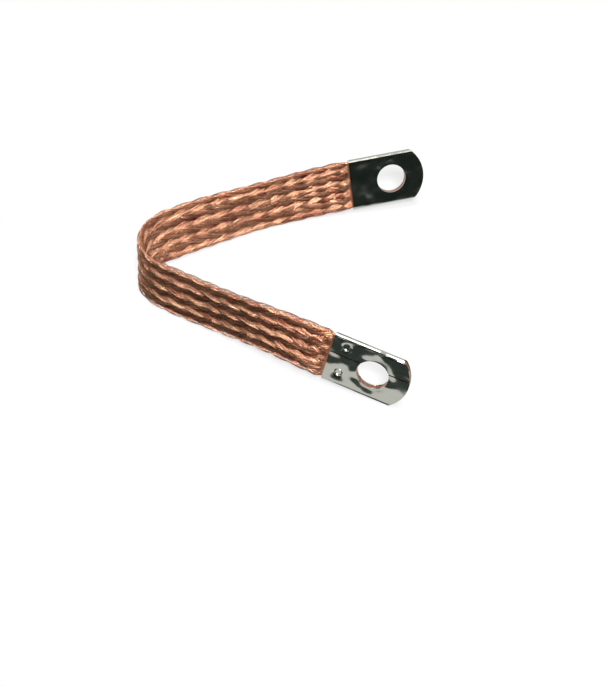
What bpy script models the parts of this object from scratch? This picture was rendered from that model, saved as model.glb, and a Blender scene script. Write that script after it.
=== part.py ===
"""Flexible braided strap: a flat copper braid with a folded sheet lug pressed on each end.

The strap stands on its long edge, bent into a V whose bend is at -X. +Z is up and both bolt
holes are at +X, the near lug at -Y. Each lug is first made in its own axes: +X from its mouth
to its tip, +Y across it and +Z out of the face with the seam. Sizes are in metres and angles
in degrees.
"""

import math

import bmesh
import bpy
from mathutils import Matrix, Vector

# The lugs
BOLT_HOLE = 0.0105
LUG_WIDTH = 0.0189
LUG_THICK = 0.0022
LUG_SHEET = 0.00045
LUG_REACH = 0.0269
HOLE_FROM_MOUTH = 0.01495
TIP_ARC = 0.0123
SEAM_GAP = 0.0004
SEAM_FROM_EDGE = 0.00685
FOLD_STEPS = 8
DIMPLE_DEPTH = 0.0006
DIMPLE_FLOOR = 0.00095
DIMPLE_DISH = 0.0021
DIMPLE_FROM_MOUTH = 0.0046
UPPER_DIMPLE_FROM_EDGE = 0.00345
LOWER_DIMPLE_FROM_EDGE = 0.005

# The braid
BRAID_WIDTH = 0.0182
BRAID_THICK = 0.0026
COLUMNS = 16
FLOAT_PITCH = 0.00693
RIDGE_HEIGHT = 0.00045
PRESS_CLEARANCE = 0.00012
SPREAD_LENGTH = 0.0028

# The course of the strap, from the near lug's mouth to the far lug's mouth
START = Vector((0.01604, -0.03605, 0.011217))
START_HEADING = 158.9
NEAR_ARM = 0.0736
FAR_ARM = 0.0858
BRAID_LENGTH = NEAR_ARM + FAR_ARM
BEND_TURN = 130.8
NEAR_BEND_REACH = 0.0091
FAR_BEND_REACH = 0.0137
NEAR_ARM_BOW = -6.3
FAR_ARM_BOW = 15.8
# Where the slope and the lean are set: 0 is the near mouth, 1 the bend and 2 the far mouth
STATIONS = (0.0, 0.4, 0.8, 1.0, 1.2, 1.6, 2.0)
SLOPES = (5.9, -6.6, -0.4, 1.7, -0.8, -0.3, 4.5)
LEANS = (20.0, 12.6, 15.7, 9.0, -23.1, -18.1, -25.6)
COURSE_STEP = 0.0005

# How finely the solids are cut
SAMPLES_PER_COLUMN = 3
RINGS_PER_PITCH = 4
HOLE_SEGMENTS = 48
DIMPLE_SEGMENTS = 20
CUT_MARGIN = 0.001


def clear_scene():
    for obj in list(bpy.data.objects):
        bpy.data.objects.remove(obj, do_unlink=True)


def metal(name, color, roughness):
    material = bpy.data.materials.new(name)
    material.use_nodes = True
    shader = material.node_tree.nodes["Principled BSDF"]
    shader.inputs["Base Color"].default_value = (*color, 1.0)
    shader.inputs["Metallic"].default_value = 1.0
    shader.inputs["Roughness"].default_value = roughness
    material.diffuse_color = (*color, 1.0)
    return material


def add_object(name, vertices, faces, material=None):
    mesh = bpy.data.meshes.new(name)
    mesh.from_pydata(vertices, [], faces)
    mesh.validate()
    obj = bpy.data.objects.new(name, mesh)
    bpy.context.scene.collection.objects.link(obj)
    if material:
        mesh.materials.append(material)
    return obj


def make_cutter(obj):
    obj.hide_render = True
    obj.display_type = "WIRE"
    return obj


def boolean(obj, operation, other):
    modifier = obj.modifiers.new(other.name, "BOOLEAN")
    modifier.operation = operation
    modifier.solver = "EXACT"
    modifier.object = other


def cut_all(obj, name, cutters):
    """Cuts several shapes that don't meet each other from an object in one go."""
    group = bpy.data.collections.new(name)
    bpy.context.scene.collection.children.link(group)
    for cutter in cutters:
        group.objects.link(cutter)
    modifier = obj.modifiers.new(name, "BOOLEAN")
    modifier.operation = "DIFFERENCE"
    modifier.solver = "EXACT"
    modifier.operand_type = "COLLECTION"
    modifier.collection = group


def smooth_between(places, values, at):
    """The value at a place, on a smooth curve through the values at the given places."""
    last = len(places) - 1
    index = 0
    while index < last - 1 and at > places[index + 1]:
        index += 1

    def rate(i):
        if i in (0, last):
            return 0.0
        return (values[i + 1] - values[i - 1]) / (places[i + 1] - places[i - 1])

    span = places[index + 1] - places[index]
    t = (at - places[index]) / span
    return (
        (1 + 2 * t) * (1 - t) ** 2 * values[index]
        + t * (1 - t) ** 2 * span * rate(index)
        + t * t * (3 - 2 * t) * values[index + 1]
        + t * t * (t - 1) * span * rate(index + 1)
    )


def heading_at(distance):
    """The strap's direction seen from above: two slightly bowed arms and a soft bend between."""
    past = distance - NEAR_ARM
    near_share = NEAR_BEND_REACH / (NEAR_BEND_REACH + FAR_BEND_REACH)
    if past < 0:
        turned = near_share * (1 + math.erf(past / NEAR_BEND_REACH))
        along_arm = distance / NEAR_ARM
        bow = NEAR_ARM_BOW * 4 * along_arm * (1 - along_arm)
    else:
        turned = near_share + (1 - near_share) * math.erf(past / FAR_BEND_REACH)
        bow = -FAR_ARM_BOW * (past / FAR_ARM) ** 2
    return START_HEADING - BEND_TURN * turned + bow


def axes_at(distance):
    """The strap's own axes at a distance: along it, across it (upwards) and into the V."""
    if distance < NEAR_ARM:
        station = distance / NEAR_ARM
    else:
        station = 1 + (distance - NEAR_ARM) / FAR_ARM
    heading = math.radians(heading_at(distance))
    slope = math.radians(smooth_between(STATIONS, SLOPES, station))
    lean = math.radians(smooth_between(STATIONS, LEANS, station))
    level = Vector((math.cos(heading), math.sin(heading), 0))
    inward = Vector((math.sin(heading), -math.cos(heading), 0))
    along = level * math.cos(slope) + Vector((0, 0, math.sin(slope)))
    upright = level * -math.sin(slope) + Vector((0, 0, math.cos(slope)))
    across = upright * math.cos(lean) + inward * math.sin(lean)
    return along, across, along.cross(across) * -1


def strap_course():
    """A matrix for each step along the braid: columns along, across, inward and place."""
    steps = round(BRAID_LENGTH / COURSE_STEP)
    step = BRAID_LENGTH / steps
    place = START.copy()
    frames = []
    for index in range(steps + 1):
        along, across, inward = axes_at(index * step)
        frame = Matrix((along, across, inward)).transposed().to_4x4()
        frame.translation = place
        frames.append(frame)
        if index < steps:
            place = place + axes_at((index + 0.5) * step)[0] * step
    return frames


def frame_on(course, distance):
    """The strap's frame at a distance from the near mouth, straight past either mouth."""
    last = len(course) - 1
    at = min(max(distance, 0.0), BRAID_LENGTH)
    index = min(int(at / BRAID_LENGTH * last), last - 1)
    share = at / BRAID_LENGTH * last - index
    frame = course[index].lerp(course[index + 1], share)
    axes = frame.to_3x3()
    axes = Matrix([axes.col[i].normalized() for i in range(3)]).transposed()
    result = axes.to_4x4()
    result.translation = frame.translation + axes.col[0] * (distance - at)
    return result


def flat_section(half_width, half_thick, turns):
    """Points and outward directions round a flat section with round edges, from the top down."""
    flat = 2 * (half_width - half_thick)
    round_edge = math.pi * half_thick
    girth = 2 * (flat + round_edge)
    points = []
    for turn in turns:
        run = (turn % 1.0) * girth
        if run < round_edge / 2:
            angle = run / half_thick
            middle, out = half_width - half_thick, (math.cos(angle), -math.sin(angle))
        elif run < round_edge / 2 + flat:
            middle, out = half_width - half_thick - (run - round_edge / 2), (0.0, -1.0)
        elif run < round_edge * 1.5 + flat:
            angle = math.pi / 2 + (run - round_edge / 2 - flat) / half_thick
            middle, out = half_thick - half_width, (math.cos(angle), -math.sin(angle))
        elif run < round_edge * 1.5 + 2 * flat:
            middle, out = half_thick - half_width + (run - round_edge * 1.5 - flat), (0.0, 1.0)
        else:
            angle = (run - girth) / half_thick
            middle, out = half_width - half_thick, (math.cos(angle), -math.sin(angle))
        points.append((middle + out[0] * half_thick, out[1] * half_thick, out))
    return points


def ridge(column, distance):
    """How far the weave stands out, 0 to 1: each column is a row of slanting floats."""
    slant = 1 if int(column) % 2 else -1
    over_column = math.sin(math.pi * (column % 1.0))
    strand = column % 1.0 - 0.5 - slant * distance / FLOAT_PITCH
    crown = 0.5 + 0.5 * math.cos(2 * math.pi * strand)
    return over_column * (0.35 + 0.65 * crown)


def spread_share(distance):
    """0 where the braid is pressed inside a lug and 1 where it has its free section."""
    inside = min(distance, BRAID_LENGTH - distance)
    share = min(max(inside / SPREAD_LENGTH, 0.0), 1.0)
    return share * share * (3 - 2 * share)


def ring_places():
    """Where the braid is sampled along its length: fine where woven, coarse inside the lugs."""
    steps = round(BRAID_LENGTH / FLOAT_PITCH * RINGS_PER_PITCH)
    woven = [BRAID_LENGTH * index / steps for index in range(steps + 1)]
    past_tip = LUG_REACH + CUT_MARGIN
    return [-past_tip, *woven, BRAID_LENGTH + past_tip]


def build_braid(course, material):
    pressed_width = LUG_WIDTH / 2 - LUG_SHEET - PRESS_CLEARANCE
    pressed_thick = LUG_THICK / 2 - LUG_SHEET - PRESS_CLEARANCE
    around = COLUMNS * SAMPLES_PER_COLUMN
    vertices = []
    places = ring_places()
    for distance in places:
        free = spread_share(distance)
        frame = frame_on(course, distance)
        base_width = BRAID_WIDTH / 2 - RIDGE_HEIGHT
        base_thick = BRAID_THICK / 2 - RIDGE_HEIGHT
        half_width = pressed_width + (base_width - pressed_width) * free
        half_thick = pressed_thick + (base_thick - pressed_thick) * free
        section = flat_section(half_width, half_thick, [i / around for i in range(around)])
        for index, (up, inward, out) in enumerate(section):
            column = index / SAMPLES_PER_COLUMN
            lift = RIDGE_HEIGHT * free * ridge(column, distance)
            local = Vector((0, up + out[0] * lift, inward + out[1] * lift))
            vertices.append(frame @ local)
    faces = [tuple(range(around))]
    for ring in range(len(places) - 1):
        for index in range(around):
            after = (index + 1) % around
            low = ring * around
            high = low + around
            faces.append((low + after, low + index, high + index, high + after))
    faces.append(tuple(reversed(range(len(vertices) - around, len(vertices)))))
    braid = add_object("braid", vertices, faces, material)
    turn_faces_out(braid)
    return braid


def turn_faces_out(obj):
    mesh = bmesh.new()
    mesh.from_mesh(obj.data)
    bmesh.ops.recalc_face_normals(mesh, faces=mesh.faces)
    mesh.to_mesh(obj.data)
    mesh.free()


def folded_outline():
    """The sheet's section, folded round the braid from one lip of the seam to the other."""
    bend = LUG_WIDTH / 2 - LUG_THICK / 2
    seam = LUG_WIDTH / 2 - SEAM_FROM_EDGE
    outer = []
    inner = []
    for side in (1, -1):
        for layer, radius in ((outer, LUG_THICK / 2), (inner, LUG_THICK / 2 - LUG_SHEET)):
            points = [(seam + side * SEAM_GAP / 2, radius)]
            for step in range(FOLD_STEPS + 1):
                angle = math.pi * step / FOLD_STEPS
                points.append((side * (bend + radius * math.sin(angle)), radius * math.cos(angle)))
            layer.append(points)
    outer_round = outer[0] + outer[1][::-1]
    inner_round = inner[0] + inner[1][::-1]
    return outer_round + inner_round[::-1]


def extruded(name, outline, start, end, material=None):
    """A solid with its outline in the lug's YZ plane, running from start to end along X."""
    count = len(outline)
    vertices = [(x, y, z) for x in (start, end) for y, z in outline]
    faces = [tuple(range(count)), tuple(reversed(range(count, 2 * count)))]
    for index in range(count):
        after = (index + 1) % count
        faces.append((index, index + count, after + count, after))
    obj = add_object(name, vertices, faces, material)
    turn_faces_out(obj)
    return obj


def plate(name, outline, low, high):
    """A solid with its outline in the lug's XY plane, from low to high along Z."""
    count = len(outline)
    vertices = [(x, y, z) for z in (low, high) for x, y in outline]
    faces = [tuple(reversed(range(count))), tuple(range(count, 2 * count))]
    for index in range(count):
        after = (index + 1) % count
        faces.append((index, after, after + count, index + count))
    return add_object(name, vertices, faces)


def dimple_profile(sink, widen):
    """Radius and height of a dimple's dish, floor first, sunk and widened from the outside one."""
    top = LUG_THICK / 2
    span = DIMPLE_DISH - DIMPLE_FLOOR
    return [
        (DIMPLE_FLOOR + widen, top - DIMPLE_DEPTH - sink),
        (DIMPLE_FLOOR + 0.15 * span + widen, top - 0.75 * DIMPLE_DEPTH - sink),
        (DIMPLE_FLOOR + 0.3 * span + widen, top - 0.33 * DIMPLE_DEPTH - sink),
        (DIMPLE_FLOOR + 0.6 * span + widen, top - 0.1 * DIMPLE_DEPTH - sink),
        (DIMPLE_DISH + widen, top - sink),
    ]


def turned_dimple(name, across, profile, lid):
    """A solid turned from a dimple's profile and closed by a flat lid above it."""
    rows = [*profile, (profile[-1][0], lid)]
    vertices = []
    for radius, height in rows:
        for segment in range(DIMPLE_SEGMENTS):
            angle = 2 * math.pi * segment / DIMPLE_SEGMENTS
            x = DIMPLE_FROM_MOUTH + radius * math.cos(angle)
            y = across + radius * math.sin(angle)
            vertices.append((x, y, height))
    faces = [tuple(reversed(range(DIMPLE_SEGMENTS)))]
    for row in range(len(rows) - 1):
        for segment in range(DIMPLE_SEGMENTS):
            after = (segment + 1) % DIMPLE_SEGMENTS
            low = row * DIMPLE_SEGMENTS
            high = low + DIMPLE_SEGMENTS
            faces.append((low + segment, low + after, high + after, high + segment))
    faces.append(tuple(range(len(vertices) - DIMPLE_SEGMENTS, len(vertices))))
    return add_object(name, vertices, faces)


def bolt_hole_cutter(name):
    circle = [
        (
            HOLE_FROM_MOUTH + BOLT_HOLE / 2 * math.cos(2 * math.pi * i / HOLE_SEGMENTS),
            BOLT_HOLE / 2 * math.sin(2 * math.pi * i / HOLE_SEGMENTS),
        )
        for i in range(HOLE_SEGMENTS)
    ]
    return plate(name, circle, -LUG_THICK, LUG_THICK)


def tip_cutter(name):
    """What is left past the shallow arc at the tip, to be cut from the lug and the braid."""
    side = LUG_WIDTH / 2 + CUT_MARGIN
    centre = LUG_REACH - TIP_ARC
    half_angle = math.asin(side / TIP_ARC)
    arc = [
        (centre + TIP_ARC * math.cos(angle), TIP_ARC * math.sin(angle))
        for angle in (half_angle * (1 - 2 * i / 24) for i in range(25))
    ]
    end = LUG_REACH + 3 * CUT_MARGIN
    return plate(name, [*arc, (end, -side), (end, side)], -LUG_THICK, LUG_THICK)


def build_lug(name, course, at_start, material):
    """One lug in place, and the cutters that shape the braid inside it."""
    lug = extruded(name, folded_outline(), 0.0, LUG_REACH + CUT_MARGIN, material)
    inside_top = LUG_THICK / 2 - LUG_SHEET
    helpers = []
    cuts_in_braid = []
    dimples = {
        "upper": LUG_WIDTH / 2 - UPPER_DIMPLE_FROM_EDGE,
        "lower": LOWER_DIMPLE_FROM_EDGE - LUG_WIDTH / 2,
    }
    for place, across in dimples.items():
        label = f"{name}_{place}_dimple"
        boss_profile = dimple_profile(LUG_SHEET, 0.0)
        boss = turned_dimple(f"{label}_boss", across, boss_profile, inside_top + LUG_SHEET / 2)
        pit = turned_dimple(f"{label}_pit", across, dimple_profile(0.0, 0.0), LUG_THICK / 2 + CUT_MARGIN)
        dent_profile = dimple_profile(LUG_SHEET + PRESS_CLEARANCE, PRESS_CLEARANCE)
        dent = turned_dimple(f"{label}_dent", across, dent_profile, inside_top + CUT_MARGIN)
        boolean(lug, "UNION", boss)
        boolean(lug, "DIFFERENCE", pit)
        helpers += [boss, pit, dent]
        cuts_in_braid.append(dent)
    hole = bolt_hole_cutter(f"{name}_bolt_hole")
    tip = tip_cutter(f"{name}_tip_arc")
    for cutter in (hole, tip):
        boolean(lug, "DIFFERENCE", cutter)
        helpers.append(cutter)
        cuts_in_braid.append(cutter)
    mouth = frame_on(course, 0.0 if at_start else BRAID_LENGTH)
    along, upward = mouth.to_3x3().col[0], mouth.to_3x3().col[1]
    to_tip, sideways = (-along, upward) if at_start else (along, -upward)
    axes = Matrix((to_tip, sideways, to_tip.cross(sideways))).transposed().to_4x4()
    axes.translation = mouth.translation
    lug.matrix_world = axes
    for helper in helpers:
        make_cutter(helper)
        helper.matrix_world = axes
    return lug, cuts_in_braid


def main():
    clear_scene()
    copper = metal("bare_copper_braid", (0.42, 0.14, 0.06), 0.35)
    plating = metal("bright_plated_sheet", (0.62, 0.62, 0.60), 0.18)
    course = strap_course()
    braid = build_braid(course, copper)
    cuts_in_braid = []
    for name, at_start in (("near_lug", True), ("far_lug", False)):
        lug, cuts = build_lug(name, course, at_start, plating)
        cuts_in_braid += cuts
        lug.data.shade_smooth()
        lug.data.set_sharp_from_angle(angle=math.radians(40))
    cut_all(braid, "cuts_in_braid", cuts_in_braid)
    braid.data.shade_smooth()
    braid.data.set_sharp_from_angle(angle=math.radians(60))


main()
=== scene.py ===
# %% [markdown]
# Flexible braided strap
#
# A copper braid pressed flat, bent into a V and standing on its long edge, with a folded plated
# lug at each end. The solids come from the frame, with their true sizes and places. This file
# gives them their looks. The lugs keep their solids and get a plated finish. The braid is woven
# again from single wires, because its look is made of wires and not of a surface.

# %% The frame
import math

import bmesh
import bpy
from mathutils import Matrix, Vector


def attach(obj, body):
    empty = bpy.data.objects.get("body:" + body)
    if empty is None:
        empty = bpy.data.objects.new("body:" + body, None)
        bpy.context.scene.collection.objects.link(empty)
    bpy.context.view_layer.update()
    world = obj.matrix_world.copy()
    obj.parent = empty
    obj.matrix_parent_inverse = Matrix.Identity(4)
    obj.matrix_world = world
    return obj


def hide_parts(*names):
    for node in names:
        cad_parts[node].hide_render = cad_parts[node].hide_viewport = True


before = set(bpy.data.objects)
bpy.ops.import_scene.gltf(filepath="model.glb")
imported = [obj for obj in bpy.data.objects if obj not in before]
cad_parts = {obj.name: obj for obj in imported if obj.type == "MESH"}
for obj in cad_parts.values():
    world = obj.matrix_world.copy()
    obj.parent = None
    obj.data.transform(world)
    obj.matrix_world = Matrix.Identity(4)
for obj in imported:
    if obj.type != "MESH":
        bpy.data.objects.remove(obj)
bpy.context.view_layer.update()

MM = 0.001

# %% [markdown]
# Camera
#
# The camera looks down on the strap from the front, about 56 degrees above the floor, from a
# little over a quarter of a metre away, and is turned a degree and a half on its own axis. A
# camera can be turned by angles, but then the order of the turns matters. Here its three
# directions are worked out as vectors, which leaves no doubt.

# %% Camera directions
CAMERA_HEIGHT_ANGLE = 56.38
CAMERA_ROLL = 1.54

rise = math.radians(CAMERA_HEIGHT_ANGLE)
roll = math.radians(CAMERA_ROLL)
to_camera = Vector((0, -math.cos(rise), math.sin(rise)))
level_right = Vector((1, 0, 0))
level_up = to_camera.cross(level_right)
camera_right = level_right * math.cos(roll) + level_up * math.sin(roll)
camera_up = level_up * math.cos(roll) - level_right * math.sin(roll)
print("from the strap to the camera:", [round(part, 2) for part in to_camera])

# %% Camera
CAMERA_DISTANCE = 279.95 * MM
CAMERA_TARGET = Vector((8.58, -24.63, 0.23)) * MM
LENS_MM = 49.61
SENSOR_MM = 36.0
NEAR_LIMIT = 10.0 * MM

camera_data = bpy.data.cameras.new("camera")
camera_data.sensor_fit = "HORIZONTAL"
camera_data.sensor_width = SENSOR_MM
camera_data.lens = LENS_MM
camera_data.clip_start = NEAR_LIMIT
camera = bpy.data.objects.new("camera", camera_data)
bpy.context.scene.collection.objects.link(camera)
camera_turn = Matrix((camera_right, camera_up, to_camera)).transposed().to_4x4()
camera.matrix_world = Matrix.Translation(CAMERA_TARGET + to_camera * CAMERA_DISTANCE) @ camera_turn
bpy.context.scene.camera = camera
bpy.context.scene.view_settings.view_transform = "Standard"
print("camera at", [round(c / MM) for c in camera.matrix_world.translation])

# %% [markdown]
# Nodes and colours
#
# One helper adds a node to any tree, sets its settings and fills its inputs, either with a value
# or with a link from another node. The kinds of node that come up often get a short name. The
# other helper turns a hex colour into the linear one that shaders use.

# %% Helper for nodes
MATH = "ShaderNodeMath"
VECTOR_MATH = "ShaderNodeVectorMath"
MAP_RANGE = "ShaderNodeMapRange"


def add(tree, kind, inputs=None, **settings):
    node = tree.nodes.new(kind)
    for name, value in settings.items():
        setattr(node, name, value)
    for key, value in (inputs or {}).items():
        if isinstance(value, bpy.types.NodeSocket):
            tree.links.new(value, node.inputs[key])
        else:
            node.inputs[key].default_value = value
    return node


print("short names for", MATH, VECTOR_MATH, "and", MAP_RANGE)


# %% Helper for colours
def linear(hex_color):
    parts = [int(hex_color[i : i + 2], 16) / 255 for i in (1, 3, 5)]
    curve = [p / 12.92 if p <= 0.04045 else ((p + 0.055) / 1.055) ** 2.4 for p in parts]
    return (*curve, 1.0)


def new_material(name):
    material = bpy.data.materials.new(name)
    material.use_nodes = True
    return material, material.node_tree, material.node_tree.nodes["Principled BSDF"]


print("middle grey is linear", round(linear("#808080")[0], 3))

# %% [markdown]
# Course of the strap
#
# The course is the line down the middle of the braid, with the way the strap leans at each place.
# It could be drawn by hand as a curve, but a drawn curve would not stay inside the solid. Here it
# repeats the solid's own rule: two slightly bowed arms, a soft bend between them, and a lean and
# a slope that change smoothly from the near lug to the far one.

# %% Sizes of the lugs and the braid
LUG_WIDTH = 18.9 * MM
LUG_THICK = 2.2 * MM
LUG_SHEET = 0.45 * MM
LUG_REACH = 26.9 * MM
HOLE_FROM_MOUTH = 14.95 * MM
BOLT_HOLE = 10.5 * MM
TIP_ARC = 12.3 * MM
PRESS_CLEARANCE = 0.12 * MM
BRAID_WIDTH = 18.2 * MM
SPREAD_LENGTH = 2.8 * MM
FLOAT_PITCH = 6.93 * MM
COLUMNS = 16
NEAR_ARM = 73.6 * MM
FAR_ARM = 85.8 * MM
BRAID_LENGTH = NEAR_ARM + FAR_ARM
print("braid between the mouths:", round(BRAID_LENGTH / MM, 1), "mm")

# %% Heading along the course
START_HEADING = 158.9
BEND_TURN = 130.8
NEAR_BEND_REACH = 9.1 * MM
FAR_BEND_REACH = 13.7 * MM
NEAR_ARM_BOW = -6.3
FAR_ARM_BOW = 15.8


def heading_at(distance):
    past = distance - NEAR_ARM
    near_share = NEAR_BEND_REACH / (NEAR_BEND_REACH + FAR_BEND_REACH)
    if past < 0:
        turned = near_share * (1 + math.erf(past / NEAR_BEND_REACH))
        along_arm = distance / NEAR_ARM
        bow = NEAR_ARM_BOW * 4 * along_arm * (1 - along_arm)
    else:
        turned = near_share + (1 - near_share) * math.erf(past / FAR_BEND_REACH)
        bow = -FAR_ARM_BOW * (past / FAR_ARM) ** 2
    return START_HEADING - BEND_TURN * turned + bow


print("heading at the bend:", round(heading_at(NEAR_ARM), 1), "degrees")


# %% Smooth change between stations
def smooth_between(places, values, at):
    last = len(places) - 1
    index = 0
    while index < last - 1 and at > places[index + 1]:
        index += 1

    def rate(i):
        if i in (0, last):
            return 0.0
        return (values[i + 1] - values[i - 1]) / (places[i + 1] - places[i - 1])

    span = places[index + 1] - places[index]
    t = (at - places[index]) / span
    return (
        (1 + 2 * t) * (1 - t) ** 2 * values[index]
        + t * (1 - t) ** 2 * span * rate(index)
        + t * t * (3 - 2 * t) * values[index + 1]
        + t * t * (t - 1) * span * rate(index + 1)
    )


print("halfway from 0 to 1 is", smooth_between((0.0, 1.0), (0.0, 1.0), 0.5))

# %% Directions of the strap
# Station 0 is the near mouth, 1 is the bend and 2 is the far mouth. Slopes and leans are degrees.
STATIONS = (0.0, 0.4, 0.8, 1.0, 1.2, 1.6, 2.0)
SLOPES = (5.9, -6.6, -0.4, 1.7, -0.8, -0.3, 4.5)
LEANS = (20.0, 12.6, 15.7, 9.0, -23.1, -18.1, -25.6)


def axes_at(distance):
    if distance < NEAR_ARM:
        station = distance / NEAR_ARM
    else:
        station = 1 + (distance - NEAR_ARM) / FAR_ARM
    heading = math.radians(heading_at(distance))
    slope = math.radians(smooth_between(STATIONS, SLOPES, station))
    lean = math.radians(smooth_between(STATIONS, LEANS, station))
    level = Vector((math.cos(heading), math.sin(heading), 0))
    inward = Vector((math.sin(heading), -math.cos(heading), 0))
    along = level * math.cos(slope) + Vector((0, 0, math.sin(slope)))
    upright = level * -math.sin(slope) + Vector((0, 0, math.cos(slope)))
    across = upright * math.cos(lean) + inward * math.sin(lean)
    return along, across, along.cross(across) * -1


print("the strap's width at the near mouth points", [round(part, 2) for part in axes_at(0.0)[1]])

# %% Course points
START = Vector((16.04, -36.05, 11.217)) * MM
COURSE_STEP = 0.5 * MM


def strap_course():
    steps = round(BRAID_LENGTH / COURSE_STEP)
    step = BRAID_LENGTH / steps
    place = START.copy()
    points = []
    for index in range(steps + 1):
        points.append((place.copy(), *axes_at(index * step)))
        if index < steps:
            place = place + axes_at((index + 0.5) * step)[0] * step
    return points


course = strap_course()
print("course points:", len(course), "to", [round(c / MM, 1) for c in course[-1][0]])

# %% [markdown]
# Guide line
#
# The wires need the strap's place and directions anywhere along it. The course becomes a line of
# points that carry those directions as attributes, so that a node tree can ask for them. A curve
# has only its own normals, which would twist. A straight stretch past each mouth lets the wires
# run on into the lugs.

# %% Guide line for the wires
RUN_IN = 1.6 * MM


def guide_line():
    first, last = course[0], course[-1]
    before = (first[0] - first[1] * RUN_IN, *first[1:])
    after = (last[0] + last[1] * RUN_IN, *last[1:])
    rows = [before, *course, after]
    mesh = bpy.data.meshes.new("guide_line")
    mesh.from_pydata([row[0] for row in rows], [(i, i + 1) for i in range(len(rows) - 1)], [])
    for name, column in (("across", 2), ("inward", 3)):
        layer = mesh.attributes.new(name, "FLOAT_VECTOR", "POINT")
        for item, row in zip(layer.data, rows):
            item.vector = row[column]
    line = bpy.data.objects.new("guide_line", mesh)
    bpy.context.scene.collection.objects.link(line)
    return line


guide = guide_line()
print("guide line points:", len(guide.data.vertices))

# %% [markdown]
# The weave
#
# The braid is a tube of 32 bundles of fine copper wire, 16 wound each way, that pass over two and
# under two of the others. It could be drawn as a bump on a flat band, but then its edges would be
# straight and its light wrong. One modelled bundle could also be copied, but the braid bends and
# leans. So one node tree makes real wires. It copies a straight wire, works out for each point
# how far round the tube it is and whether its bundle is on top there, and sets the point on the
# flattened tube along the guide line. The cells below add the tree's nodes in that order.

# %% Sizes of the weave
# A real bundle has more and finer wires. Six thick ones show at this size, and finer ones blur.
WIRES_PER_BUNDLE = 6
WIRE_POINTS = 160
WIRE_THICK = 0.26 * MM
WIRE_SIDES = 5
WEAVE_HEIGHT = 0.36 * MM
BUNDLE_CROWN = 0.26 * MM
BUNDLE_COVER = 0.98
WANDER = 0.20 * MM
print("wires in the braid:", 2 * COLUMNS * WIRES_PER_BUNDLE)

# %% Inputs of the weave tree
weave = bpy.data.node_groups.new("weave", "GeometryNodeTree")
weave_sockets = {}
for name, kind in (
    ("Hand", "NodeSocketFloat"),
    ("First bundle", "NodeSocketFloat"),
    ("Bundles", "NodeSocketInt"),
    ("Wires per bundle", "NodeSocketInt"),
    ("Wire points", "NodeSocketInt"),
    ("Wire thickness", "NodeSocketFloat"),
    ("Float pitch", "NodeSocketFloat"),
    ("Weave height", "NodeSocketFloat"),
    ("Crown", "NodeSocketFloat"),
    ("Wander", "NodeSocketFloat"),
    ("Guide", "NodeSocketObject"),
    ("Copper", "NodeSocketMaterial"),
):
    item = weave.interface.new_socket(name, in_out="INPUT", socket_type=kind)
    weave_sockets[name] = item.identifier
weave.interface.new_socket("Geometry", in_out="OUTPUT", socket_type="NodeSocketGeometry")
given = add(weave, "NodeGroupInput").outputs
print("weave inputs:", len(weave_sockets))

# %% [markdown]
# Single wires
#
# Each wire starts as a straight line with enough points to follow the weave closely. All wires
# could be drawn one by one, but they differ only in their numbers. So one line is copied, and
# each copy works out from its number which bundle it is in and where it lies there.

# %% Straight wires
line = add(weave, "GeometryNodeCurvePrimitiveLine").outputs[0]
wire = add(weave, "GeometryNodeResampleCurve", {"Curve": line, "Count": given["Wire points"]}).outputs[0]
per_bundle = given["Wires per bundle"]
amount = add(weave, MATH, {0: given["Bundles"], 1: per_bundle}, operation="MULTIPLY").outputs[0]
copied = {"Geometry": wire, "Amount": amount}
copies = add(weave, "GeometryNodeDuplicateElements", copied, domain="SPLINE").outputs
print("weave nodes:", len(weave.nodes))

# %% Which bundle, and where in it
# Side runs from -0.5 to 0.5 across a bundle.
number = copies["Duplicate Index"]
wire_share = add(weave, MATH, {0: number, 1: per_bundle}, operation="DIVIDE").outputs[0]
bundles_before = add(weave, MATH, {0: wire_share}, operation="FLOOR").outputs[0]
bundle = add(weave, MATH, {0: bundles_before, 1: given["First bundle"]}, operation="ADD").outputs[0]
wires_before = add(weave, MATH, {0: wire_share}, operation="FRACT").outputs[0]
half_wire = add(weave, MATH, {0: 0.5, 1: per_bundle}, operation="DIVIDE").outputs[0]
from_side = add(weave, MATH, {0: wires_before, 1: half_wire}, operation="ADD").outputs[0]
side = add(weave, MATH, {0: from_side, 1: -0.5}, operation="ADD").outputs[0]
print("weave nodes:", len(weave.nodes))

# %% Each wire keeps its numbers
# The copper material reads the bundle and the wire too, so they stay on the mesh as attributes.
numbered = copies["Geometry"]
for name, value in (("bundle", bundle), ("side", side), ("wire", number)):
    stored = {"Geometry": numbered, "Name": name, "Value": value}
    keeper = add(weave, "GeometryNodeStoreNamedAttribute", stored, data_type="FLOAT", domain="CURVE")
    numbered = keeper.outputs[0]
bundle, side, number = (
    add(weave, "GeometryNodeInputNamedAttribute", {"Name": name}, data_type="FLOAT").outputs[0]
    for name in ("bundle", "side", "wire")
)
print("weave nodes:", len(weave.nodes))

# %% [markdown]
# Winding and crossing
#
# In a tubular braid one half of the bundles winds to the right and the other to the left, and
# each goes over two of the others and under two. A braiding machine does that with moving
# bobbins. Here a wave along each bundle does it: it rises where the bundle is on top and sinks
# where it is underneath. No braid is wound quite evenly, so a smooth noise lets wires wander.

# %% Distance along the braid
along = add(weave, "GeometryNodeSplineParameter").outputs["Factor"]
whole_run = BRAID_LENGTH + 2 * RUN_IN
distance = add(weave, MATH, {0: along, 1: whole_run, 2: -RUN_IN}, operation="MULTIPLY_ADD").outputs[0]
pitches = add(weave, MATH, {0: distance, 1: given["Float pitch"]}, operation="DIVIDE").outputs[0]
wound = add(weave, MATH, {0: pitches, 1: given["Hand"]}, operation="MULTIPLY").outputs[0]
print("weave nodes:", len(weave.nodes))

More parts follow.
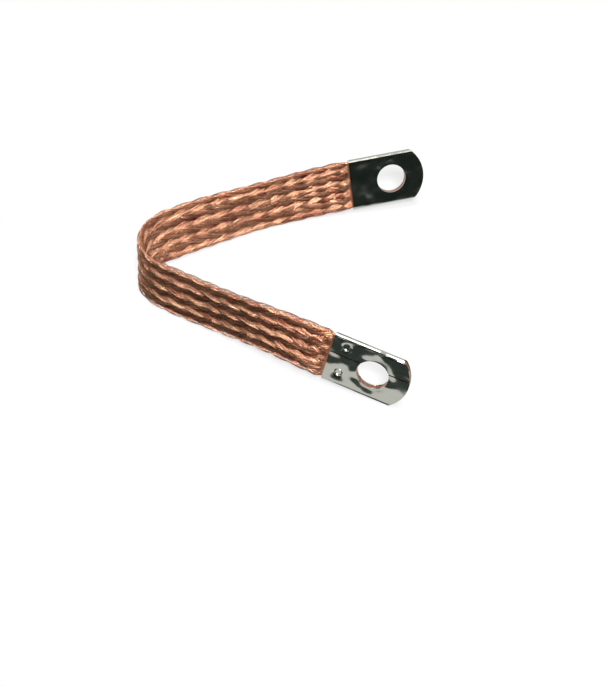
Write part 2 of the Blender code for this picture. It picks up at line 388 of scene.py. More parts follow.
# %% How a wire wanders
# Two smooth noises move whole bundles and single wires. Each gets its own row of the noise from
# its number and hand, so the braid is the same in every run.
# The first stretch is how fast the noise changes along the braid, and the other two only keep
# the rows apart.
WIRE_WANDER = 1.6
BUNDLE_STRETCH = (1.3, 7.31, 3.7)
WIRE_STRETCH = (2.1, 5.17, 9.1)
wander = {}
for name, count, stretch in (("bundle", bundle, BUNDLE_STRETCH), ("wire", number, WIRE_STRETCH)):
    row = add(weave, "ShaderNodeCombineXYZ", {0: pitches, 1: count, 2: given["Hand"]}).outputs[0]
    seed = add(weave, VECTOR_MATH, {0: row, 1: stretch}, operation="MULTIPLY").outputs[0]
    noise = add(weave, "ShaderNodeTexNoise", {"Vector": seed, "Scale": 1.0, "Detail": 1.0}).outputs["Color"]
    wander[name] = add(weave, "ShaderNodeSeparateXYZ", {0: noise}).outputs
both = {0: wander["wire"][0], 1: WIRE_WANDER, 2: wander["bundle"][0]}
both = add(weave, MATH, both, operation="MULTIPLY_ADD").outputs[0]
swing = add(weave, MATH, {0: both, 1: -(1 + WIRE_WANDER) / 2}, operation="ADD").outputs[0]
columns_wide = add(weave, MATH, {0: given["Wander"], 1: BRAID_WIDTH / COLUMNS}, operation="DIVIDE").outputs[0]
drift = add(weave, MATH, {0: columns_wide, 1: swing}, operation="MULTIPLY").outputs[0]
print("weave nodes:", len(weave.nodes))

# %% Over two and under two
# A bundle crosses the others at twice the rate at which it goes round. The wave is 1 where it is
# on top and -1 where it is underneath, and the other hand's waves are shifted by two columns.
LEFT_TOP = 2.5
RIGHT_TOP = 0.5
in_bundle = add(weave, MATH, {0: side, 1: BUNDLE_COVER, 2: bundle}, operation="MULTIPLY_ADD").outputs[0]
in_hand = add(weave, MATH, {0: in_bundle, 1: drift}, operation="ADD").outputs[0]
round_tube = add(weave, MATH, {0: in_hand, 1: wound}, operation="ADD").outputs[0]
crossing = add(weave, MATH, {0: round_tube, 1: wound}, operation="ADD").outputs[0]
shifting = {0: given["Hand"], 1: -1.0, 2: 1.0, 3: LEFT_TOP, 4: RIGHT_TOP}
hand_shift = add(weave, MAP_RANGE, shifting).outputs[0]
top_place = add(weave, MATH, {0: hand_shift, 1: bundle}, operation="SUBTRACT").outputs[0]
from_top = add(weave, MATH, {0: crossing, 1: top_place}, operation="SUBTRACT").outputs[0]
phase = add(weave, MATH, {0: from_top, 1: math.pi / 2}, operation="MULTIPLY").outputs[0]
wave = add(weave, MATH, {0: phase}, operation="COSINE").outputs[0]
print("weave nodes:", len(weave.nodes))

# %% [markdown]
# The flattened tube
#
# The tube is rolled flat, so its section is two flat faces with a half-round edge on each side.
# A squashed circle would be too thick in the middle. By a mouth the lug holds the braid pressed
# thin, and it swells out over a few millimetres.

# %% Free of the lugs
# Free is 0 at a mouth, where the lug presses the braid flat, and 1 where the braid has spread.
from_far = add(weave, MATH, {0: BRAID_LENGTH, 1: distance}, operation="SUBTRACT").outputs[0]
inside = add(weave, MATH, {0: distance, 1: from_far}, operation="MINIMUM").outputs[0]
spreading = {0: inside, 1: 0.0, 2: SPREAD_LENGTH, 3: 0.0, 4: 1.0}
free = add(weave, MAP_RANGE, spreading, interpolation_type="SMOOTHSTEP").outputs[0]
print("weave nodes:", len(weave.nodes))

# %% Height of a wire over the wall
# A bundle is crowned where it lies on top, and each wire stands a little higher or lower.
CROWN_FROM_WAVE = -0.6
CROWN_FULL_WAVE = 0.8
LIFT_WANDER = 0.9
PRESSED_LIFT = 0.18
side_squared = add(weave, MATH, {0: side, 1: side}, operation="MULTIPLY").outputs[0]
arch = add(weave, MATH, {0: side_squared, 1: -4.0, 2: 1.0}, operation="MULTIPLY_ADD").outputs[0]
full_crown = add(weave, MATH, {0: given["Crown"], 1: arch}, operation="MULTIPLY").outputs[0]
crown_share = add(weave, MAP_RANGE, {0: wave, 1: CROWN_FROM_WAVE, 2: CROWN_FULL_WAVE}).outputs[0]
crown = add(weave, MATH, {0: full_crown, 1: crown_share}, operation="MULTIPLY").outputs[0]
woven = add(weave, MATH, {0: wave, 1: given["Weave height"], 2: crown}, operation="MULTIPLY_ADD").outputs[0]
loose = add(weave, MATH, {0: given["Wander"], 1: LIFT_WANDER}, operation="MULTIPLY").outputs[0]
bob = add(weave, MATH, {0: wander["wire"][1], 1: -0.5}, operation="ADD").outputs[0]
full_lift = add(weave, MATH, {0: loose, 1: bob, 2: woven}, operation="MULTIPLY_ADD").outputs[0]
lift_share = add(weave, MAP_RANGE, {0: free, 3: PRESSED_LIFT, 4: 1.0}).outputs[0]
lift = add(weave, MATH, {0: full_lift, 1: lift_share}, operation="MULTIPLY").outputs[0]
print("weave nodes:", len(weave.nodes))

# %% Size of the flattened tube
# Its section has two flat faces and two half-round edges. Middle is the radius of the edges to
# the middle of the wall. The outermost wires may stand a little past the solid's edge.
WALL_MIDDLE = 0.64 * MM
PRESSED_MIDDLE = 0.28 * MM
EDGE_SPREAD = 0.22 * MM
PRESSED_HALF = LUG_WIDTH / 2 - LUG_SHEET - PRESS_CLEARANCE - WIRE_THICK
FREE_HALF = BRAID_WIDTH / 2 - WEAVE_HEIGHT - WIRE_THICK / 2 + EDGE_SPREAD
middle = add(weave, MAP_RANGE, {0: free, 3: PRESSED_MIDDLE, 4: WALL_MIDDLE}).outputs[0]
half_width = add(weave, MAP_RANGE, {0: free, 3: PRESSED_HALF, 4: FREE_HALF}).outputs[0]
half_flat = add(weave, MATH, {0: half_width, 1: middle}, operation="SUBTRACT").outputs[0]
flat = add(weave, MATH, {0: half_flat, 1: 2.0}, operation="MULTIPLY").outputs[0]
quarter = add(weave, MATH, {0: middle, 1: math.pi / 2}, operation="MULTIPLY").outputs[0]
print("tube's half width:", round(PRESSED_HALF / MM, 2), "to", round(FREE_HALF / MM, 2), "mm")

# %% Way round the flattened tube
# The way round starts at the top, and passes the face, the low edge, the back and the top edge.
flats = add(weave, MATH, {0: flat, 1: 2.0}, operation="MULTIPLY").outputs[0]
girth = add(weave, MATH, {0: quarter, 1: 4.0, 2: flats}, operation="MULTIPLY_ADD").outputs[0]
turns = add(weave, MATH, {0: round_tube, 1: 1 / COLUMNS}, operation="MULTIPLY").outputs[0]
turn = add(weave, MATH, {0: turns}, operation="FRACT").outputs[0]
way = add(weave, MATH, {0: turn, 1: girth}, operation="MULTIPLY").outputs[0]
face_end = add(weave, MATH, {0: quarter, 1: flat}, operation="ADD").outputs[0]
edge_end = add(weave, MATH, {0: quarter, 1: 2.0, 2: face_end}, operation="MULTIPLY_ADD").outputs[0]
back_end = add(weave, MATH, {0: edge_end, 1: flat}, operation="ADD").outputs[0]
print("weave nodes:", len(weave.nodes))

# %% Angle and middle line there
# The angle turns only on the edges. The middle line moves down the face and up the back.
angle = 0.0
for start, stop, bend in (
    (0.0, quarter, math.pi / 2),
    (face_end, edge_end, math.pi),
    (back_end, girth, math.pi / 2),
):
    bent = add(weave, MAP_RANGE, {0: way, 1: start, 2: stop, 3: 0.0, 4: bend}).outputs[0]
    angle = add(weave, MATH, {0: angle, 1: bent}, operation="ADD").outputs[0]
down = add(weave, MAP_RANGE, {0: way, 1: quarter, 2: face_end, 3: 0.0, 4: flat}).outputs[0]
back_up = add(weave, MAP_RANGE, {0: way, 1: edge_end, 2: back_end, 3: 0.0, 4: flat}).outputs[0]
from_start = add(weave, MATH, {0: half_flat, 1: down}, operation="SUBTRACT").outputs[0]
middle_line = add(weave, MATH, {0: from_start, 1: back_up}, operation="ADD").outputs[0]
print("weave nodes:", len(weave.nodes))

# %% Up and inward from the course
# The scallops of the edges show more than those of the faces, so the edges get a little gain.
EDGE_GAIN = 0.2
cosine = add(weave, MATH, {0: angle}, operation="COSINE").outputs[0]
sine = add(weave, MATH, {0: angle}, operation="SINE").outputs[0]
edge_share = add(weave, MATH, {0: cosine, 1: cosine}, operation="MULTIPLY").outputs[0]
gain = add(weave, MATH, {0: edge_share, 1: EDGE_GAIN, 2: 1.0}, operation="MULTIPLY_ADD").outputs[0]
reach = add(weave, MATH, {0: lift, 1: gain, 2: middle}, operation="MULTIPLY_ADD").outputs[0]
up_part = add(weave, MATH, {0: reach, 1: cosine, 2: middle_line}, operation="MULTIPLY_ADD").outputs[0]
outward_part = add(weave, MATH, {0: reach, 1: sine}, operation="MULTIPLY").outputs[0]
inward_part = add(weave, MATH, {0: outward_part, 1: -1.0}, operation="MULTIPLY").outputs[0]
print("weave nodes:", len(weave.nodes))

# %% [markdown]
# Along the guide
#
# Each point now knows how far up and how far inward it lies from the course. The guide gives the
# course's place and directions at the same share of its length, and the point is set there.
# A curve modifier could bend a straight braid too, but it would not make it lean.

# %% The guide's place and directions
guide_shape = add(weave, "GeometryNodeObjectInfo", {"Object": given["Guide"]}, transform_space="ORIGINAL")
guide_curve = add(weave, "GeometryNodeMeshToCurve", {"Mesh": guide_shape.outputs["Geometry"]}).outputs[0]
directions = []
for name in ("across", "inward"):
    value = add(weave, "GeometryNodeInputNamedAttribute", {"Name": name}, data_type="FLOAT_VECTOR").outputs[0]
    asked = {"Curves": guide_curve, "Value": value, "Factor": along}
    sample = add(weave, "GeometryNodeSampleCurve", asked, data_type="FLOAT_VECTOR", mode="FACTOR",
                 use_all_curves=True).outputs
    directions.append(add(weave, VECTOR_MATH, {0: sample["Value"]}, operation="NORMALIZE").outputs[0])
on_course = sample["Position"]
print("weave nodes:", len(weave.nodes))

# %% Wires set in place
# No wire goes below the table: the lowest ones lie on it, half their own thickness up.
FAR_BELOW = -1.0
upward = add(weave, VECTOR_MATH, {0: directions[0], "Scale": up_part}, operation="SCALE").outputs[0]
sideways = add(weave, VECTOR_MATH, {0: directions[1], "Scale": inward_part}, operation="SCALE").outputs[0]
offset = add(weave, VECTOR_MATH, {0: upward, 1: sideways}, operation="ADD").outputs[0]
place = add(weave, VECTOR_MATH, {0: on_course, 1: offset}, operation="ADD").outputs[0]
half_thick = add(weave, MATH, {0: given["Wire thickness"], 1: 0.5}, operation="MULTIPLY").outputs[0]
lowest = add(weave, "ShaderNodeCombineXYZ", {0: FAR_BELOW, 1: FAR_BELOW, 2: half_thick}).outputs[0]
place = add(weave, VECTOR_MATH, {0: place, 1: lowest}, operation="MAXIMUM").outputs[0]
placed = add(weave, "GeometryNodeSetPosition", {"Geometry": numbered, "Position": place}).outputs[0]
print("weave nodes:", len(weave.nodes))

# %% Round wires
# Five sides are enough for a wire this thin. Realize Instances and Set Material end the tree, so
# that the result is one plain mesh with its finish.
ring_shape = {"Resolution": WIRE_SIDES, "Radius": half_thick}
ring = add(weave, "GeometryNodeCurvePrimitiveCircle", ring_shape, mode="RADIUS").outputs[0]
swept = {"Curve": placed, "Profile Curve": ring, "Fill Caps": True}
tubes = add(weave, "GeometryNodeCurveToMesh", swept).outputs[0]
real = add(weave, "GeometryNodeRealizeInstances", {"Geometry": tubes}).outputs[0]
coated = add(weave, "GeometryNodeSetMaterial", {"Geometry": real, "Material": given["Copper"]}).outputs[0]
add(weave, "NodeGroupOutput", {"Geometry": coated})
print("weave nodes in all:", len(weave.nodes))

# %% [markdown]
# Bare copper wire
#
# The wire is soft drawn copper without plating: bright where it is new, darker and redder where
# the air has been at it. It could be one flat colour, but then the bundles would melt into each
# other. Here each bundle and each wire has its own tone, with soft patches and fine specks over
# them, and a fine bump breaks up the shine as drawing marks and nicks do.

# %% Tone of the copper
# Each row is how strongly a part of the tone counts. The specks are about as wide as a wire.
BUNDLE_TONE = 0.7
WIRE_TONE = 1.5
PATCH_TONE = 1.8
SPECK_TONE = 1.8
PATCH_SIZE = 3.846 * MM
SPECK_SIZE = 0.35 * MM


def copper_tone(tree, place):
    parts = []
    for attribute, weight in (("bundle", BUNDLE_TONE), ("wire", WIRE_TONE)):
        count = add(tree, "ShaderNodeAttribute", attribute_name=attribute).outputs["Fac"]
        own = add(tree, "ShaderNodeTexWhiteNoise", {"W": count}, noise_dimensions="1D").outputs["Value"]
        parts.append((own, weight))
    for size, detail, weight in ((PATCH_SIZE, 3.0, PATCH_TONE), (SPECK_SIZE, 2.0, SPECK_TONE)):
        shape = {"Vector": place, "Scale": 1 / size, "Detail": detail}
        parts.append((add(tree, "ShaderNodeTexNoise", shape).outputs["Fac"], weight))
    tone = 0.0
    for part, weight in parts:
        tone = add(tree, MATH, {0: part, 1: weight, 2: tone}, operation="MULTIPLY_ADD").outputs[0]
    return tone


print("the tone runs from 0 to", round(BUNDLE_TONE + WIRE_TONE + PATCH_TONE + SPECK_TONE, 1))

# %% Bare copper
# Metallic with a low roughness gives a warm, narrow shine along each wire. The coat is the thin
# clear film of old oil, which adds a second, paler shine. The nicks are drawn about as wide as a
# wire, coarser than real ones, so that they show.
DARK_TONE = 1.7
BRIGHT_TONE = 4.0
NICK_SIZE = 0.28 * MM
NICK_DEPTH = 0.04 * MM


def bare_copper_wire():
    material, tree, shader = new_material("bare_drawn_copper_wire")
    place = add(tree, "ShaderNodeTexCoord").outputs["Object"]
    tone = copper_tone(tree, place)
    share = add(tree, MAP_RANGE, {0: tone, 1: DARK_TONE, 2: BRIGHT_TONE}).outputs[0]
    color = add(tree, "ShaderNodeValToRGB", {0: share})
    color.color_ramp.elements[0].color = linear("#954020")
    color.color_ramp.elements[1].color = linear("#f6c29a")
    tree.links.new(color.outputs[0], shader.inputs["Base Color"])
    nick_shape = {"Vector": place, "Scale": 1 / NICK_SIZE, "Detail": 1.0}
    nicks = add(tree, "ShaderNodeTexNoise", nick_shape).outputs["Fac"]
    bump = add(tree, "ShaderNodeBump", {"Strength": 1.0, "Distance": NICK_DEPTH, "Height": nicks})
    tree.links.new(bump.outputs[0], shader.inputs["Normal"])
    shader.inputs["Metallic"].default_value = 1.0
    shader.inputs["Roughness"].default_value = 0.24
    shader.inputs["Coat Weight"].default_value = 0.8
    shader.inputs["Coat Roughness"].default_value = 0.2
    return material


copper = bare_copper_wire()
print("copper nodes:", len(copper.node_tree.nodes))

# %% [markdown]
# The woven pieces
#
# The tree runs once for each hand and each half of the bundles. One run for all would be a piece
# with too many faces to handle, so the braid is four pieces of eight bundles. The result of each
# run becomes a plain mesh, and the object that held the tree goes.


# %% One woven piece
def woven_piece(name, sizes):
    holder = bpy.data.objects.new("holder", bpy.data.meshes.new("holder"))
    bpy.context.scene.collection.objects.link(holder)
    modifier = holder.modifiers.new("weave", "NODES")
    modifier.node_group = weave
    for title, value in sizes.items():
        modifier[weave_sockets[title]] = value
    graph = bpy.context.evaluated_depsgraph_get()
    mesh = bpy.data.meshes.new_from_object(holder.evaluated_get(graph))
    bpy.data.meshes.remove(holder.data)
    mesh.name = name
    mesh.shade_smooth()
    piece = bpy.data.objects.new(name, mesh)
    bpy.context.scene.collection.objects.link(piece)
    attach(piece, "root")
    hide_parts("braid")
    print(name, len(mesh.polygons), "faces")
    return piece


# %% Wires of the braid
BUNDLES_PER_PIECE = 8
HANDS = (("right", 1.0), ("left", -1.0))
bundled_wires = {
    "Bundles": BUNDLES_PER_PIECE,
    "Wires per bundle": WIRES_PER_BUNDLE,
    "Wire points": WIRE_POINTS,
    "Wire thickness": WIRE_THICK,
    "Float pitch": FLOAT_PITCH,
    "Weave height": WEAVE_HEIGHT,
    "Crown": BUNDLE_CROWN,
    "Wander": WANDER,
    "Guide": guide,
    "Copper": copper,
}
for label, hand in HANDS:
    for group in range(COLUMNS // BUNDLES_PER_PIECE):
        own = {"Hand": hand, "First bundle": float(group * BUNDLES_PER_PIECE)}
        woven_piece(f"braid_wires_{label}_{group + 1}", {**bundled_wires, **own})

# %% [markdown]
# Sprung wires
#
# A few thin wires have sprung out of their bundles, as on every braid that has been handled. They
# could be loose curves strewn over it, but real ones stay woven in. So they follow the same
# weave, wander further and stand freer, and they give the braid its fuzzy edge.

# %% Sprung wires
sprung_wires = {"Wires per bundle": 1, "Wire thickness": 0.11 * MM, "Crown": 0.05 * MM, "Wander": 0.6 * MM}
for label, hand in HANDS:
    first = 0.0 if hand > 0 else COLUMNS / 2
    own = {"Hand": hand, "First bundle": first, "Bundles": COLUMNS // 2}
    woven_piece(f"sprung_wires_{label}", {**bundled_wires, **sprung_wires, **own})
bpy.data.meshes.remove(guide.data)
print("the guide line is gone, and the wires stay")

# %% [markdown]
# Pressed core
#
# Under the bundles that show lie the inner wires. Inside the lugs the whole braid is pressed into
# one flat slab, whose edge shows in the bolt holes and at the tips. More woven wires could fill
# it, at the cost of many faces that nobody sees. Here it is one solid from tip to tip, thin where
# the braid is free, and the bolt holes, the tip arcs and the dimples are cut out of it.

# %% Ring of the core
CORE_FREE_HALF = 0.42 * MM
CORE_EDGE_CLEARANCE = 0.15 * MM
CORE_SIDES = 12


def flat_ring(half_width, half_thick):
    middle = half_width - half_thick
    points = []
    for side in (1, -1):
        for step in range(CORE_SIDES + 1):
            angle = math.pi * step / CORE_SIDES
            up = side * (middle + half_thick * math.sin(angle))
            points.append((up, side * half_thick * math.cos(angle)))
    return points


def core_ring(distance):
    inside = min(distance, BRAID_LENGTH - distance)
    share = min(max(inside / SPREAD_LENGTH, 0.0), 1.0)
    free = share * share * (3 - 2 * share)
    pressed_half = LUG_THICK / 2 - LUG_SHEET - PRESS_CLEARANCE
    half_thick = pressed_half + (CORE_FREE_HALF - pressed_half) * free
    half_width = LUG_WIDTH / 2 - LUG_SHEET - PRESS_CLEARANCE - CORE_EDGE_CLEARANCE * free
    at = min(max(distance, 0.0), BRAID_LENGTH)
    on_course, along, across, inward = course[round(at / BRAID_LENGTH * (len(course) - 1))]
    place = on_course + along * (distance - at)
    return [place + across * up + inward * side for up, side in flat_ring(half_width, half_thick)]


print("points in a ring:", len(core_ring(0.0)))

# %% Core from tip to tip
CORE_RING_STEP = 2.0 * MM
CORE_PAST_TIP = 1.0 * MM


def whole_core():
    past = LUG_REACH + CORE_PAST_TIP
    count = round(BRAID_LENGTH / CORE_RING_STEP)
    woven = [BRAID_LENGTH * i / count for i in range(count + 1)]
    rings = [core_ring(distance) for distance in (-past, *woven, BRAID_LENGTH + past)]
    around = len(rings[0])
    vertices = [point for ring in rings for point in ring]
    faces = [tuple(range(around)), tuple(reversed(range(len(vertices) - around, len(vertices))))]
    for low in range(0, len(vertices) - around, around):
        for index in range(around):
            after = (index + 1) % around
            faces.append((low + after, low + index, low + around + index, low + around + after))
    mesh = bpy.data.meshes.new("pressed_core")
    mesh.from_pydata(vertices, [], faces)
    shape = bmesh.new()
    shape.from_mesh(mesh)
    bmesh.ops.recalc_face_normals(shape, faces=shape.faces)
    shape.to_mesh(mesh)
    shape.free()
    return mesh


core = bpy.data.objects.new("pressed_core", whole_core())
bpy.context.scene.collection.objects.link(core)
print("core faces before the cuts:", len(core.data.polygons))


# %% A lug's own directions
# In a lug's frame, x runs from the mouth to the tip, y across, and z through the sheet.
def lug_matrix(at_start):
    place, along, across, inward = course[0] if at_start else course[-1]
    to_tip, sideways = (-along, across) if at_start else (along, -across)
    matrix = Matrix((to_tip, sideways, to_tip.cross(sideways))).transposed().to_4x4()
    matrix.translation = place
    return matrix


print("the far mouth is at", [round(c / MM, 1) for c in lug_matrix(False).translation])

# %% Outlines of the cuts
HOLE_STEPS = 64
DIMPLE_STEPS = 24
TIP_STEPS = 24
TIP_MARGIN = 1.0 * MM
TIP_CUT_LENGTH = 3.0 * MM
DIMPLE_FROM_MOUTH = 4.6 * MM
UPPER_DIMPLE = 6.0 * MM
LOWER_DIMPLE = -4.45 * MM
DIMPLE_ROOM = 2.25 * MM


def round_outline(x, y, radius, steps):
    angles = [2 * math.pi * i / steps for i in range(steps)]
    return [(x + radius * math.cos(a), y + radius * math.sin(a)) for a in angles]


def tip_outline():
    side = LUG_WIDTH / 2 + TIP_MARGIN
    half_angle = math.asin(side / TIP_ARC)
    angles = [half_angle * (1 - 2 * i / TIP_STEPS) for i in range(TIP_STEPS + 1)]
    centre = LUG_REACH - TIP_ARC
    end = LUG_REACH + TIP_CUT_LENGTH
    arc = [(centre + TIP_ARC * math.cos(a), TIP_ARC * math.sin(a)) for a in angles]
    return [*arc, (end, -side), (end, side)]


core_cuts = (
    round_outline(HOLE_FROM_MOUTH, 0.0, BOLT_HOLE / 2, HOLE_STEPS),
    tip_outline(),
    round_outline(DIMPLE_FROM_MOUTH, UPPER_DIMPLE, DIMPLE_ROOM, DIMPLE_STEPS),
    round_outline(DIMPLE_FROM_MOUTH, LOWER_DIMPLE, DIMPLE_ROOM, DIMPLE_STEPS),
)
print("cuts at each end:", len(core_cuts))


# %% Cutting the core
def cut_plate(outline, matrix):
    count = len(outline)
    vertices = [matrix @ Vector((x, y, z)) for z in (-LUG_THICK, LUG_THICK) for x, y in outline]
    faces = [tuple(reversed(range(count))), tuple(range(count, 2 * count))]
    faces += [(i, (i + 1) % count, (i + 1) % count + count, i + count) for i in range(count)]
    mesh = bpy.data.meshes.new("core_cutter")
    mesh.from_pydata(vertices, [], faces)
    cutter = bpy.data.objects.new("core_cutter", mesh)
    bpy.context.scene.collection.objects.link(cutter)
    return cutter


cutters = [cut_plate(outline, lug_matrix(at_start)) for at_start in (True, False) for outline in core_cuts]
for cutter in cutters:
    cut = core.modifiers.new("cut", "BOOLEAN")
    cut.operation = "DIFFERENCE"
    cut.solver = "EXACT"
    cut.object = cutter
cut_core = bpy.data.meshes.new_from_object(core.evaluated_get(bpy.context.evaluated_depsgraph_get()))
core.modifiers.clear()
core.data = cut_core
for cutter in cutters:
    bpy.data.meshes.remove(cutter.data)
print("core faces after the cuts:", len(core.data.polygons))

# %% [markdown]
# Pressed wire ends
#
# Where the braid is cut through, hundreds of wire ends show as small dull dots. A cell pattern as wide as a
# wire draws them, with a bright middle and a dark rim, and a bump sets them apart. The dark rim is painted
# shade in the gaps where the ends meet.

# %% Pressed copper wire ends
# Half dull metal gives the eye a matt copper edge, without the narrow shine of the long wires.
WIRE_END_SIZE = 0.3 * MM
WIRE_END_DEPTH = 0.05 * MM


def pressed_copper_wire_ends():
    material, tree, shader = new_material("pressed_copper_wire_ends")
    place = add(tree, "ShaderNodeTexCoord").outputs["Object"]
    cells = {"Vector": place, "Scale": 1 / WIRE_END_SIZE}
    from_middle = add(tree, "ShaderNodeTexVoronoi", cells, feature="F1").outputs["Distance"]
    # The colour darkens from each end's middle to its rim: painted shade in the gaps between the wire ends.
    color = add(tree, "ShaderNodeValToRGB", {0: from_middle})
    color.color_ramp.elements[0].color = linear("#d79a7a")
    color.color_ramp.elements[1].color = linear("#6e3a26")
    tree.links.new(color.outputs[0], shader.inputs["Base Color"])
    bump = add(tree, "ShaderNodeBump", {"Strength": 0.5, "Distance": WIRE_END_DEPTH, "Height": from_middle})
    tree.links.new(bump.outputs[0], shader.inputs["Normal"])
    shader.inputs["Metallic"].default_value = 0.8
    shader.inputs["Roughness"].default_value = 0.5
    return material


core.data.materials.clear()
core.data.materials.append(pressed_copper_wire_ends())
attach(core, "root")
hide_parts("braid")
print("core finished:", core.data.materials[0].name)

# %% [markdown]
# Bright plated sheet
#
# The lugs are folded from thin sheet with a bright plating. The metal itself is pale, and what it
# shows is mostly what stands around it. The press leaves thin sheet softly wavy, and it is drawn
# in round the hole and the dimples. The solid has flat faces, so those waves are a bump, worked
# out in the lug's own millimetres so that they sit at the hole and the dimples.

# %% Dips round the hole and the dimples
# Each row is x, y and radius of the rim, how wide the dip is outside it, and how deep, in mm.
DIPS = (
    (HOLE_FROM_MOUTH / MM, 0.0, BOLT_HOLE / 2 / MM, 2.0, 0.28),
    (DIMPLE_FROM_MOUTH / MM, UPPER_DIMPLE / MM, 0.0, 2.9, 0.42),
    (DIMPLE_FROM_MOUTH / MM, LOWER_DIMPLE / MM, 0.0, 2.9, 0.42),
)


def dipped(tree, in_lug, height, dip_share):
    on_face = add(tree, VECTOR_MATH, {0: in_lug, 1: (1, 1, 0)}, operation="MULTIPLY").outputs[0]
    for x, y, radius, width, depth in DIPS:
        away = add(tree, VECTOR_MATH, {0: on_face, 1: (x, y, 0)}, operation="DISTANCE").outputs["Value"]
        past = add(tree, MATH, {0: away, 1: radius}, operation="SUBTRACT").outputs[0]
        share = add(tree, MATH, {0: past, 1: 1 / width}, operation="MULTIPLY").outputs[0]
        square = add(tree, MATH, {0: share, 1: share}, operation="MULTIPLY").outputs[0]
        bell = add(tree, MATH, {0: math.exp(-1), 1: square}, operation="POWER").outputs[0]
        deep = {0: bell, 1: -depth * dip_share, 2: height}
        height = add(tree, MATH, deep, operation="MULTIPLY_ADD").outputs[0]
    return height


print("dips on a lug:", len(DIPS))

# %% Bright plating
# A pale grey metal with a low roughness mirrors the room softly, a little blurred by the sheet.
WAVE_SIZE_MM = 6.25


def bright_plated_sheet(name, matrix, wave_height, dip_share):
    material, tree, shader = new_material(name)
    seen_from = {
        "Vector": add(tree, "ShaderNodeTexCoord").outputs["Object"],
        "Location": matrix.translation,
        "Rotation": matrix.to_euler(),
        "Scale": (MM, MM, MM),
    }
    in_lug = add(tree, "ShaderNodeMapping", seen_from, vector_type="TEXTURE").outputs[0]
    wave_shape = {"Vector": in_lug, "Scale": 1 / WAVE_SIZE_MM, "Detail": 1.0}
    waves = add(tree, "ShaderNodeTexNoise", wave_shape).outputs["Fac"]
    height = add(tree, MATH, {0: waves, 1: wave_height}, operation="MULTIPLY").outputs[0]
    height = dipped(tree, in_lug, height, dip_share)
    bump = add(tree, "ShaderNodeBump", {"Strength": 1.0, "Distance": MM, "Height": height})
    tree.links.new(bump.outputs[0], shader.inputs["Normal"])
    shader.inputs["Base Color"].default_value = linear("#aeafa6")
    shader.inputs["Metallic"].default_value = 1.0
    shader.inputs["Roughness"].default_value = 0.13
    return material


print("waves in the sheet are about", WAVE_SIZE_MM, "mm long")

# %% Plating the lugs
# The near lug is crimped hard and wavy. The far lug shows its plain face, which is nearly flat.
# Each lug says whether it is at the start of the course, how high its waves are and how much of
# the dips it has.
LUG_WAVES = {"near_lug": (True, 0.7, 1.0), "far_lug": (False, 0.25, 0.3)}
for lug_name, (at_start, wave_height, dip_share) in LUG_WAVES.items():
    matrix = lug_matrix(at_start)
    plating = bright_plated_sheet(f"bright_plated_sheet_{lug_name}", matrix, wave_height, dip_share)
    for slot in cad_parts[lug_name].material_slots:
        slot.material = plating
    print(lug_name, "plated:", plating.name)

# %% [markdown]
# Floor and room
#
# The strap stands on white paper. A floor that only the lamps light would come out grey, and
# stronger lamps would bleach the strap. So the paper also glows, only for rays that come straight
# from the camera, a mirror or glass. Near the strap it glows less, so that its shadow shows.


# %% Rays that see the background
def seen_directly(tree):
    paths = add(tree, "ShaderNodeLightPath").outputs
    seen = paths["Is Camera Ray"]
    for name in ("Is Glossy Ray", "Is Transmission Ray"):
        seen = add(tree, MATH, {0: seen, 1: paths[name]}, operation="MAXIMUM").outputs[0]
    return seen


print("the white background shows to camera, mirror and glass rays")

# %% Floor
# Matt paper, nearly white, has no shine of its own, and it gives the eye a soft grey shadow.
FLOOR_HALF = 2.0
SHADOW_RADIUS = 75.0 * MM
WHITE_RADIUS = 110.0 * MM
NEAR_GLOW = 0.6
corners = [(x * FLOOR_HALF, y * FLOOR_HALF, 0) for x, y in ((-1, -1), (1, -1), (1, 1), (-1, 1))]
floor_mesh = bpy.data.meshes.new("floor")
floor_mesh.from_pydata(corners, [], [(0, 1, 2, 3)])
floor = bpy.data.objects.new("floor", floor_mesh)
bpy.context.scene.collection.objects.link(floor)

paper, paper_tree, paper_shader = new_material("white_paper_floor")
paper_shader.inputs["Base Color"].default_value = linear("#fbfbfb")
paper_shader.inputs["Roughness"].default_value = 0.9
on_floor = add(paper_tree, "ShaderNodeTexCoord").outputs["Object"]
from_strap = add(paper_tree, VECTOR_MATH, {0: on_floor}, operation="LENGTH").outputs["Value"]
fading = {0: from_strap, 1: SHADOW_RADIUS, 2: WHITE_RADIUS, 3: NEAR_GLOW, 4: 1.0}
glow = add(paper_tree, MAP_RANGE, fading).outputs[0]
glow_share = add(paper_tree, MATH, {0: glow, 1: seen_directly(paper_tree)}, operation="MULTIPLY").outputs[0]
white = add(paper_tree, "ShaderNodeEmission", {"Color": (1, 1, 1, 1), "Strength": 1.0}).outputs[0]
mixed = {0: glow_share, 1: paper_shader.outputs[0], 2: white}
blend = add(paper_tree, "ShaderNodeMixShader", mixed).outputs[0]
paper_tree.links.new(blend, paper_tree.nodes["Material Output"].inputs["Surface"])
floor_mesh.materials.append(paper)
print("floor nodes:", len(paper_tree.nodes))

# %% World
WORLD_LEVEL = 0.06
world = bpy.data.worlds.new("studio")
bpy.context.scene.world = world
world.use_nodes = True
strength = {0: seen_directly(world.node_tree), 3: WORLD_LEVEL, 4: 1.0}
world_strength = add(world.node_tree, MAP_RANGE, strength).outputs[0]
background = world.node_tree.nodes["Background"]
background.inputs["Color"].default_value = (1.0, 1.0, 1.0, 1.0)
world.node_tree.links.new(world_strength, background.inputs["Strength"])
print("world light:", WORLD_LEVEL)

# %% [markdown]
# Lamps
#
# Two large soft lamps light the strap, one over the camera and one overhead. Small lamps would
# give hard shadows and a glitter of white dots on the copper.

# %% Softboxes
FRONT_DISTANCE = 0.85
FRONT_SIZE = 0.30
FRONT_WATTS = 6.2
FRONT_AIM = Vector((0, 0.02, 0))
TOP_PLACE = Vector((0.05, 0.1, 1.0))
TOP_SIZE = 0.5
TOP_WATTS = 4.2


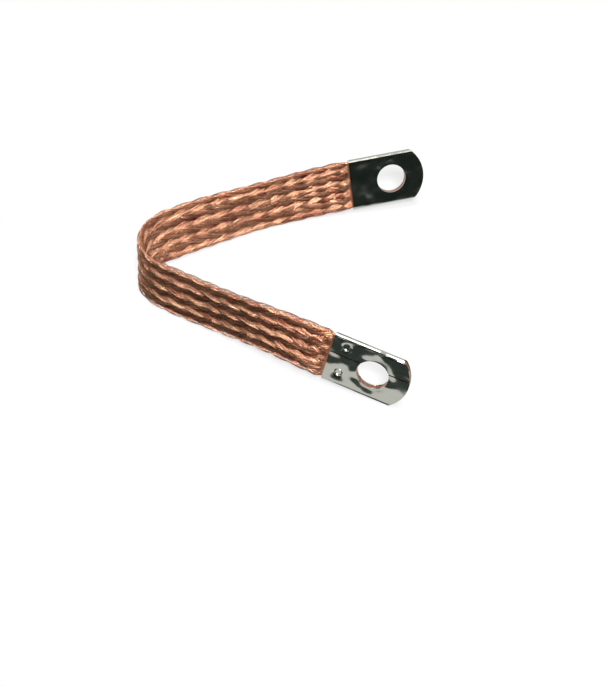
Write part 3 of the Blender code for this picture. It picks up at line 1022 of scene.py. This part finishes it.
def softbox(name, place, aim, size, watts):
    data = bpy.data.lights.new(name, "AREA")
    data.shape = "RECTANGLE"
    data.size = size
    data.size_y = size
    data.energy = watts
    lamp = bpy.data.objects.new(name, data)
    bpy.context.scene.collection.objects.link(lamp)
    turn = (aim - place).to_track_quat("-Z", "Y").to_matrix().to_4x4()
    lamp.matrix_world = Matrix.Translation(place) @ turn
    return lamp


front_direction = (to_camera + Vector((0.1, 0, 0.25))).normalized()
front_place = CAMERA_TARGET + front_direction * FRONT_DISTANCE
softbox("front_softbox", front_place, FRONT_AIM, FRONT_SIZE, FRONT_WATTS)
softbox("top_softbox", TOP_PLACE, Vector((0, 0, 0)), TOP_SIZE, TOP_WATTS)
print("front lamp at", [round(part, 2) for part in front_place], "m")

# %% [markdown]
# Dark cards seen only in reflections
#
# Bright metal in a white room looks like white plastic. Dark cards stood round it give it dark shapes with
# crisp edges to mirror. They are painted reflections: only mirror rays see them, so the camera sees white
# floor where they lie, and they cast no shadow on it. One card is a curved wall in front, and three lie by
# the strap.


# %% One dark card
# Dull dark grey-green card, seen only by mirror rays, a painted reflection that the bright metal shows as its
# deep, faintly green shade.
def dark_card(name, corners, color, faces=None):
    mesh = bpy.data.meshes.new(name)
    mesh.from_pydata(corners, [], faces or [tuple(range(len(corners)))])
    card = bpy.data.objects.new(name, mesh)
    bpy.context.scene.collection.objects.link(card)
    # Only mirror rays see the card, so it is a painted reflection.
    card.visible_camera = False
    card.visible_diffuse = False
    card.visible_shadow = False
    card.visible_transmission = False
    card_material, card_tree, card_shader = new_material("painted_reflection_card")
    card_shader.inputs["Base Color"].default_value = linear(color)
    card_shader.inputs["Roughness"].default_value = 0.9
    mesh.materials.append(card_material)
    print(name, "has", len(corners), "corners")


# %% Wall in front
WALL_RADIUS = 1.3
WALL_HEIGHT = 1.9
WALL_START = -190
WALL_SWEEP = 200
WALL_STEPS = 24
wall = []
for step in range(WALL_STEPS + 1):
    angle = math.radians(WALL_START + WALL_SWEEP * step / WALL_STEPS)
    for height in (0.0, WALL_HEIGHT):
        wall.append((WALL_RADIUS * math.cos(angle), WALL_RADIUS * math.sin(angle), height))
wall_faces = [(2 * i, 2 * i + 2, 2 * i + 3, 2 * i + 1) for i in range(WALL_STEPS)]
# The wall is a painted reflection of a dark room: only mirror rays see it.
dark_card("front_wall_card", wall, "#34443f", wall_faces)
print("wall faces:", len(wall_faces))

# %% Cards on the floor
# Corners are in millimetres on the floor. The cards lie just clear of it. The foot card is painted shade: it
# darkens what the near lug's lower fold mirrors where the lug meets the floor.
CARD_LIFT = 0.2 * MM
FLOOR_CARDS = {
    "floor_card_left": (
        (-400, -500), (400, -500), (400, -85), (-10, -65), (5, -38), (-42, -10), (-50, 20), (-400, 20),
    ),
    "floor_card_foot": ((6, -36.5), (40.5, -49.5), (39.5, -52.2), (5, -39.2)),
    "floor_card_inside": ((-30, 0), (12, -22), (400, -85), (400, 0), (50, 30), (15, 20)),
}
for name, outline in FLOOR_CARDS.items():
    dark_card(name, [(x * MM, y * MM, CARD_LIFT) for x, y in outline], "#182622")
print("cards on the floor:", len(FLOOR_CARDS))

# %% [markdown]
# Length of the braid
#
# The real strap bends freely, between one lug and the other. Here the length of braid between the mouths is
# printed.

# %% Length of the braid
print("flexible length:", round(BRAID_LENGTH / MM, 1), "mm")
